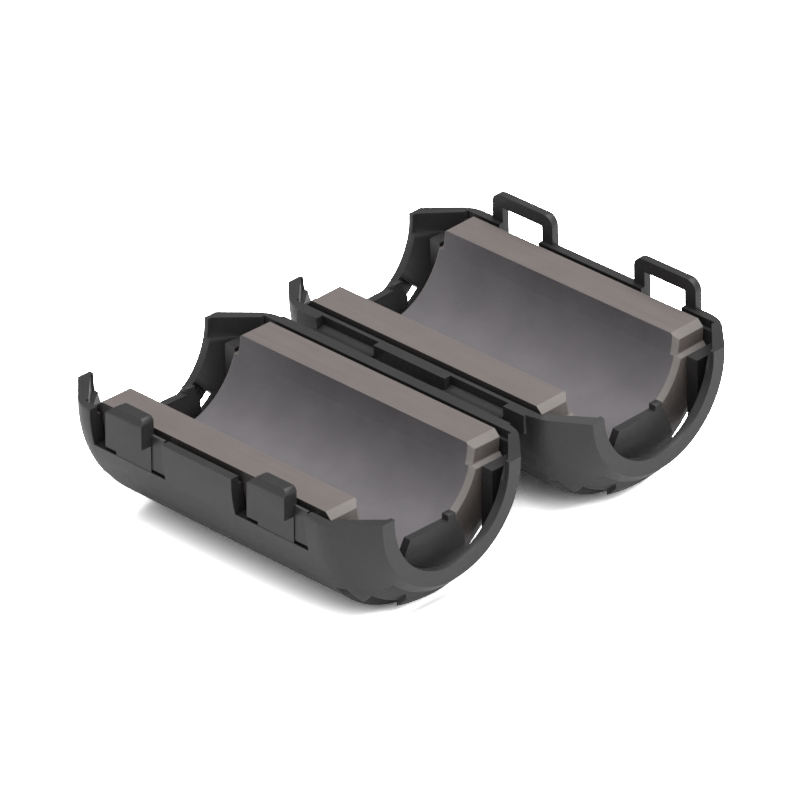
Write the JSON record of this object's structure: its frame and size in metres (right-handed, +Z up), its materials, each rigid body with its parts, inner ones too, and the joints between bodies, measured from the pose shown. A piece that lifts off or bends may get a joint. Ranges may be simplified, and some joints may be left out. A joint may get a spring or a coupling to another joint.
{
  "type": "clip-on ferrite bead",
  "caption": "Clip-on ferrite clamp for a round cable: hinged dark plastic case with tapered ends, holding a split ferrite tube, lying open.",
  "frame": {"origin": "on the cable axis of the base half, at mid length, level with the base ferrite's flat face", "axes": "+X along the cable, +Y from the base half across the hinge to the cover half, +Z up out of the open halves"},
  "size_m": [0.036, 0.0486, 0.0152],
  "materials": {
    "case_plastic": "dark grey moulded nylon, satin, fine moulded grain",
    "ferrite": "fired ferrite ceramic, ground brownish grey faces, violet grey passage, matt"
  },
  "bodies": {
    "base": {"base_shell": "case_plastic", "base_core": "ferrite", "hinge_web_left": "case_plastic", "hinge_web_right": "case_plastic"},
    "cover": {"cover_shell": "case_plastic", "cover_core": "ferrite"}
  },
  "joints": [
    {"name": "web_hinge", "type": "hinge", "parent": "base", "child": "cover", "pos_m": [0, 0.0124, 0.00003], "axis": [1, 0, 0], "range_deg": [0, 177.8], "deforming": ["hinge_web_left", "hinge_web_right"]}
  ]
}
